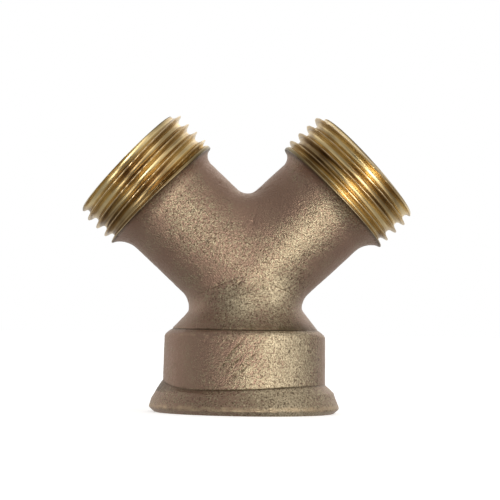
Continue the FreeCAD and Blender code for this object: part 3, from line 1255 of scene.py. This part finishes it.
@dataclass
class Wiring:
    """A node tree with short ways to add and join nodes."""

    tree: bpy.types.NodeTree
    material: Material | None = None

    @classmethod
    def fresh(cls, name: str) -> "Wiring":
        """Starts a material that holds one shader and its output.

        Args:
            name: The material's name.

        Returns:
            Its wiring.
        """
        material = bpy.data.materials.new(name)
        material.use_nodes = True
        return cls(material.node_tree, material)

    @property
    def shader(self) -> Node:
        """The material's shader."""
        return self.tree.nodes["Principled BSDF"]

    def add(self, kind: str, **settings: object) -> Node:
        """Adds a node and sets its properties and sockets.

        Args:
            kind: The node's type.
            **settings: Properties by name; sockets by name with spaces as underscores.

        Returns:
            The node.
        """
        node = self.tree.nodes.new(kind)
        for key, value in settings.items():
            if hasattr(node, key):
                setattr(node, key, value)
            else:
                node.inputs[key.replace("_", " ")].default_value = value
        return node

    def join(self, start: object, end: Socket) -> None:
        """Links a socket to another one, or sets a constant on it.

        Args:
            start: The socket or the constant.
            end: The socket that takes it.
        """
        if isinstance(start, Socket):
            self.tree.links.new(start, end)
        else:
            end.default_value = start

    def work(self, kind: str, operation: str, *values: object) -> Socket:
        """Adds one step of arithmetic.

        Args:
            kind: Math or VectorMath.
            operation: What it does.
            *values: Constants or sockets, in the order of its inputs.

        Returns:
            The result.
        """
        node = self.add(f"ShaderNode{kind}", operation=operation)
        for value, target in zip(values, node.inputs):
            self.join(value, target)
        is_vector = kind == "VectorMath" and operation != "DOT_PRODUCT"
        return node.outputs["Vector" if is_vector else "Value"]

    def scaled(self, vector: object, scale: object) -> Socket:
        """A direction or colour times a number.

        Args:
            vector: The direction or colour, constant or socket.
            scale: The number, constant or socket.

        Returns:
            The product.
        """
        node = self.add("ShaderNodeVectorMath", operation="SCALE")
        self.join(vector, node.inputs[0])
        self.join(scale, node.inputs["Scale"])
        return node.outputs["Vector"]

    def noise(
        self, scale: float, detail: float, rough: float = 0.5, source: Socket | None = None
    ) -> Socket:
        """Adds noise in the object's own space.

        Args:
            scale: Lumps to the metre.
            detail: How many finer layers.
            rough: Strength of the finer layers.
            source: Coordinates, where they aren't the object's.

        Returns:
            The noise's value.
        """
        node = self.add("ShaderNodeTexNoise", Scale=scale, Detail=detail, Roughness=rough)
        where = source or self.add("ShaderNodeTexCoord").outputs["Object"]
        self.join(where, node.inputs["Vector"])
        return node.outputs["Fac"]

    def ramp(self, source: Socket, stops: list[tuple[float, tuple]]) -> Socket:
        """Turns a value into colours.

        Args:
            source: The value.
            stops: Place and colour of each stop.

        Returns:
            The colour.
        """
        node = self.add("ShaderNodeValToRGB")
        bar = node.color_ramp.elements
        while len(bar) < len(stops):
            bar.new(0.5)
        for element, (place, colour) in zip(bar, stops):
            element.position = place
            element.color = (*colour, 1.0)
        self.join(source, node.inputs["Fac"])
        return node.outputs["Color"]

    def blend(self, share: Socket, first: object, second: object) -> Socket:
        """Mixes two colours.

        Args:
            share: How much of the second.
            first: A colour or a socket.
            second: A colour or a socket.

        Returns:
            The mixed colour.
        """
        node = self.add("ShaderNodeMix", data_type="RGBA")
        self.join(share, node.inputs[0])
        for value, target in ((first, node.inputs[6]), (second, node.inputs[7])):
            self.join((*value, 1.0) if isinstance(value, tuple) else value, target)
        return node.outputs[2]

    def spread(
        self, source: Socket, low: float, high: float, to_low: float = 0.0, to_high: float = 1.0
    ) -> Socket:
        """Maps a value from one range to another.

        Args:
            source: The value.
            low: Start of its range.
            high: End of its range.
            to_low: What the start becomes.
            to_high: What the end becomes.

        Returns:
            The mapped value.
        """
        node = self.add("ShaderNodeMapRange")
        self.join(source, node.inputs["Value"])
        for key, value in (("From Min", low), ("From Max", high), ("To Min", to_low), ("To Max", to_high)):
            node.inputs[key].default_value = value
        return node.outputs["Result"]

    def sum(self, first: Socket, second: Socket, share: float) -> Socket:
        """First plus share times second."""
        return self.work("Math", "MULTIPLY_ADD", second, share, first)

    def times(self, first: Socket, second: Socket) -> Socket:
        """One value times another."""
        return self.work("Math", "MULTIPLY", first, second)

    def value(self, name: str) -> Socket:
        """Reads a value that the mesh carries."""
        return self.add("ShaderNodeAttribute", attribute_name=name).outputs["Fac"]

    def bump(self, height: Socket, distance: float, strength: float) -> None:
        """Sets the shader's bump.

        Args:
            height: The relief, from 0 to 1.
            distance: Its depth in metres.
            strength: How strongly it shows.
        """
        node = self.add("ShaderNodeBump", Strength=strength, Distance=distance)
        self.join(height, node.inputs["Height"])
        self.join(node.outputs["Normal"], self.shader.inputs["Normal"])


@dataclass(frozen=True)
class BlastedBrass:
    """Shot-blasted forging brass: dull and grainy, pinkish where it is dull or painted in shade, tan to pale
    where it is rubbed or painted as lit, with oil stains and painted shade in the crease, corners and pits.
    """

    # The hollow tone is the unrubbed blasting and also paints the shaded side; the pale tone also paints the
    # lit side.
    hollow: tuple = (0.330, 0.212, 0.156)
    tan: tuple = (0.40, 0.328, 0.218)
    pale: tuple = (0.66, 0.55, 0.385)
    speck: tuple = (0.12, 0.080, 0.050)
    rubbed: tuple = (0.66, 0.50, 0.32)
    # Colour of the oil stains and of the painted shade.
    oil_and_shade: tuple = (0.085, 0.062, 0.030)
    roughness: float = 0.46

    def make(self) -> Material:
        """Builds the material.

        Returns:
            The material, named for its slot.
        """
        w = Wiring.fresh(Slot.BLASTED.value)
        grain = w.noise(2400.0, 2.0, 0.6)
        shot = w.noise(4600.0, 1.0, 0.5)
        # The burnish mark carries painted light as well as wear, so this ramp paints the lit and shaded
        # sides.
        burnish_and_light = w.value("burnish_and_light")
        tone = w.spread(burnish_and_light, 0.0, 1.0, 0.0, 0.62)
        tone = w.sum(tone, w.spread(w.noise(150.0, 2.0, 0.5), 0.0, 1.0, -0.5, 0.5), 0.35)
        mottle = w.sum(w.spread(grain, 0.0, 1.0, -0.55, 0.55), w.spread(shot, 0.0, 1.0, -0.5, 0.5), 1.0)
        tone = w.sum(tone, w.times(mottle, w.spread(burnish_and_light, 0.0, 0.22, 0.35, 1.55)), 1.0)
        colour = w.ramp(tone, [(0.0, self.hollow), (0.42, self.tan), (0.85, self.pale)])
        chance = w.spread(burnish_and_light, 0.02, 0.25, 0.10, 0.72)
        dark = w.spread(w.noise(2900.0, 1.0, 0.5), 0.55, 0.635)
        colour = w.blend(w.times(dark, chance), colour, self.speck)
        colour = w.blend(w.spread(w.value("wear"), 0.25, 1.0, 0.0, 0.75), colour, self.rubbed)
        # Oil stains, and painted shade in the crease, the flange's corner and the pits.
        colour = w.blend(w.value("stain_and_shade"), colour, self.oil_and_shade)
        w.join(colour, w.shader.inputs["Base Color"])
        rough = w.spread(grain, 0.3, 0.7, self.roughness - 0.08, self.roughness + 0.10)
        w.join(rough, w.shader.inputs["Roughness"])
        w.shader.inputs["Metallic"].default_value = 0.92
        w.bump(w.sum(grain, shot, 0.9), 0.00011, 0.8)
        return w.material


@dataclass(frozen=True)
class TurnedBrass:
    """Lathe-cut brass: bright gold, with tool lines round it, random tarnish, paler crests and a painted dark
    reflection on the flanks just under each crest.
    """

    gold: tuple = (0.88, 0.69, 0.36)
    warm: tuple = (0.50, 0.36, 0.175)
    tarnish: tuple = (0.19, 0.115, 0.053)
    crest: tuple = (0.70, 0.55, 0.35)
    # Colour of the painted dark reflection on the flanks just under each crest.
    groove: tuple = (0.085, 0.050, 0.025)
    # Colour of the dark stains at the lip, the bead and the rim end; on the threads it paints no shade.
    oil_and_shade: tuple = (0.13, 0.10, 0.048)
    roughness: float = 0.30

    @staticmethod
    def drawn(w: Wiring, round_share: float) -> Socket:
        """Coordinates that run fast along the axis and slowly round it.

        Args:
            w: The material's wiring.
            round_share: How slowly they run round.

        Returns:
            The coordinates.
        """
        slow = w.scaled(w.add("ShaderNodeTexCoord").outputs["Object"], round_share)
        fast = w.add("ShaderNodeCombineXYZ")
        w.join(w.value("turned_along"), fast.inputs["X"])
        return w.work("VectorMath", "ADD", fast.outputs["Vector"], slow)

    def make(self) -> Material:
        """Builds the material.

        Returns:
            The material, named for its slot.
        """
        w = Wiring.fresh(Slot.TURNED.value)
        cloud = w.noise(150.0, 2.0, 0.5)
        streak = w.noise(1400.0, 1.0, 0.5, self.drawn(w, 0.02))
        band = w.noise(700.0, 2.0, 0.5, self.drawn(w, 0.10))
        lines = w.noise(4200.0, 1.0, 0.5, self.drawn(w, 0.02))
        tone = w.sum(w.sum(w.spread(cloud, 0.0, 1.0, 0.2, 0.8), streak, 0.6), band, 0.55)
        tone = w.spread(tone, 0.86, 1.26)
        colour = w.ramp(tone, [(0.0, self.tarnish), (0.42, self.warm), (0.85, self.gold)])
        # Painted dark reflection: a thin dark line on the flanks just under each crest, for the dark
        # surroundings that the steep flank mirrors.
        flank_dark_reflection = w.ramp(w.value("crest"), [(0.34, (0.0,) * 3), (0.48, (0.5,) * 3), (0.64, (0.0,) * 3)])
        colour = w.blend(flank_dark_reflection, colour, self.groove)
        colour = w.blend(w.spread(w.value("crest"), 0.72, 0.95, 0.0, 0.7), colour, self.crest)
        colour = w.blend(w.value("stain_and_shade"), colour, self.oil_and_shade)
        w.join(colour, w.shader.inputs["Base Color"])
        rough = w.spread(lines, 0.3, 0.7, self.roughness - 0.04, self.roughness + 0.08)
        w.join(rough, w.shader.inputs["Roughness"])
        w.shader.inputs["Metallic"].default_value = 1.0
        w.bump(lines, 0.00002, 0.08)
        return w.material


@dataclass(frozen=True)
class WasherRubber:
    """Black moulded rubber with talc and grit on it."""

    black: tuple = (0.018, 0.018, 0.019)
    dusty: tuple = (0.07, 0.068, 0.064)
    roughness: float = 0.62

    def make(self) -> Material:
        """Builds the material.

        Returns:
            The material, named for its slot.
        """
        w = Wiring.fresh(Slot.RUBBER.value)
        cloud = w.noise(260.0, 4.0, 0.6)
        grain = w.noise(3500.0, 2.0, 0.5)
        colour = w.ramp(cloud, [(0.42, self.black), (0.72, self.dusty)])
        dusted = w.blend(w.spread(grain, 0.60, 0.75, 0.0, 0.5), colour, self.dusty)
        w.join(dusted, w.shader.inputs["Base Color"])
        rough = w.spread(cloud, 0.3, 0.7, self.roughness - 0.1, self.roughness + 0.12)
        w.join(rough, w.shader.inputs["Roughness"])
        w.bump(grain, 0.0001, 0.4)
        return w.material


# ---------------------------------------------------------------- studio


@dataclass(frozen=True)
class Softbox:
    """One soft light far off in the studio."""

    azimuth: float
    elevation: float
    tightness: float
    strength: float
    colour: tuple = (1.0, 0.97, 0.92)

    def direction(self) -> tuple[float, float, float]:
        """Where it stands, with azimuth 0 at the camera's side and positive to its right."""
        a, e = math.radians(self.azimuth), math.radians(self.elevation)
        return (math.sin(a) * math.cos(e), -math.cos(a) * math.cos(e), math.sin(e))


@dataclass
class Studio:
    """Pale floor, soft lights and the camera."""

    camera_place: tuple = (-7.2, -380.0, 16.4)
    camera_aim: tuple = (0.75, 0.0, 31.4)
    view_width: float = 96.8
    roll: float = 0.85
    ceiling: float = 0.27
    horizon: float = 0.36
    ground: float = 0.28
    floor_half: float = 4.0
    floor_glow: float = 0.60
    sensor_width: float = 36.0
    nearest: float = 0.01
    farthest: float = 20.0
    softboxes: tuple = (
        Softbox(15.0, -9.0, 70.0, 13.0, (1.0, 0.98, 0.90)),
        Softbox(-29.0, -22.0, 110.0, 7.0, (1.0, 0.98, 0.90)),
        Softbox(50.0, 3.0, 9.0, 1.7),
        Softbox(16.0, 16.0, 90.0, 0.5),
        Softbox(-31.0, 30.0, 7.0, -0.15),
        Softbox(-14.0, 16.0, 40.0, -0.34),
        Softbox(42.0, -36.0, 26.0, -0.12),
        Softbox(8.0, 66.0, 6.0, 0.55),
        Softbox(180.0, 0.0, 1.5, 0.42),
        Softbox(160.0, 25.0, 8.0, 1.0),
        Softbox(-120.0, 15.0, 8.0, 0.6),
    )

    def light(self) -> None:
        """Makes the studio's surroundings: white to look at, soft and uneven as light."""
        world = bpy.data.worlds.new("studio")
        bpy.context.scene.world = world
        world.use_nodes = True
        world.node_tree.nodes.clear()
        w = Wiring(world.node_tree)
        way = w.add("ShaderNodeTexCoord").outputs["Generated"]
        parts = w.add("ShaderNodeSeparateXYZ")
        w.join(way, parts.inputs[0])
        height = w.spread(parts.outputs["Z"], -1.0, 1.0)
        greys = ((0.0, self.ground), (0.5, self.horizon), (1.0, self.ceiling))
        total = w.ramp(height, [(place, (grey,) * 3) for place, grey in greys])
        for box in self.softboxes:
            facing = w.work("VectorMath", "DOT_PRODUCT", way, box.direction())
            power = w.work("Math", "POWER", w.work("Math", "MAXIMUM", facing, 0.0), box.tightness)
            glow = w.scaled([c * box.strength for c in box.colour], power)
            total = w.work("VectorMath", "ADD", total, glow)
        lamp = w.add("ShaderNodeBackground")
        w.join(total, lamp.inputs["Color"])
        white = w.add("ShaderNodeBackground", Color=(1.0, 1.0, 1.0, 1.0))
        seen = w.add("ShaderNodeLightPath").outputs["Is Camera Ray"]
        pick = w.add("ShaderNodeMixShader")
        for source, target in zip((seen, lamp.outputs[0], white.outputs[0]), pick.inputs):
            w.join(source, target)
        w.join(pick.outputs[0], w.add("ShaderNodeOutputWorld").inputs["Surface"])
        bpy.context.scene.view_settings.view_transform = "Standard"

    def lay_floor(self, height: float) -> None:
        """Lays the pale floor under the base.

        Args:
            height: The floor's height in metres.
        """
        half = self.floor_half
        mesh = bpy.data.meshes.new("floor")
        corners = [(x * half, y * half, height) for x, y in ((-1, -1), (1, -1), (1, 1), (-1, 1))]
        mesh.from_pydata(corners, [], [(0, 1, 2, 3)])
        paper = Wiring.fresh("studio_paper")
        paper.shader.inputs["Roughness"].default_value = 1.0
        paper.shader.inputs["Specular IOR Level"].default_value = 0.0
        tone = paper.ramp(paper.noise(6.0, 2.0), [(0.3, (0.86, 0.86, 0.86)), (0.7, (0.88, 0.88, 0.88))])
        paper.join(tone, paper.shader.inputs["Base Color"])
        paper.shader.inputs["Emission Color"].default_value = (1.0, 1.0, 1.0, 1.0)
        paper.shader.inputs["Emission Strength"].default_value = self.floor_glow
        mesh.materials.append(paper.material)
        floor = bpy.data.objects.new("floor", mesh)
        bpy.context.scene.collection.objects.link(floor)
        floor.visible_glossy = False
        floor.visible_diffuse = False
        floor.visible_shadow = False
        floor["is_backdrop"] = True

    def place_camera(self) -> None:
        """Makes the camera in front of the splitter, a little below its middle."""
        data = bpy.data.cameras.new("camera")
        camera = bpy.data.objects.new("camera", data)
        bpy.context.scene.collection.objects.link(camera)
        place, aim = Vector(self.camera_place) * MM, Vector(self.camera_aim) * MM
        gaze = aim - place
        data.sensor_width = self.sensor_width
        data.lens = self.sensor_width * gaze.length / (self.view_width * MM)
        data.clip_start, data.clip_end = self.nearest, self.farthest
        turn = gaze.to_track_quat("-Z", "Y").to_matrix().to_4x4()
        roll = Matrix.Rotation(math.radians(self.roll), 4, "Z")
        camera.matrix_world = Matrix.Translation(place) @ turn @ roll
        bpy.context.scene.camera = camera


# ---------------------------------------------------------------- assembly


def main() -> None:
    """Builds the splitter's pieces in order, then the studio, and reports each."""
    logging.basicConfig(level=logging.INFO, format="%(message)s")
    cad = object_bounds()
    layout = Layout.from_frame()
    blasted = BlastedBrass().make()
    turned = TurnedBrass().make()
    rubber = WasherRubber().make()
    body = ForgedBody(layout)
    pieces = body.build(blasted, turned)
    for side in Side:
        pieces.append(OutletThread(layout, body, side).build(turned))
    pieces.append(InletThread().build(turned))
    pieces.append(HoseWasher().build(rubber))
    studio = Studio()
    studio.light()
    studio.lay_floor(cad[0].z)
    studio.place_camera()
    log.info("%d pieces", len(pieces))


if __name__ == "__main__":
    main()
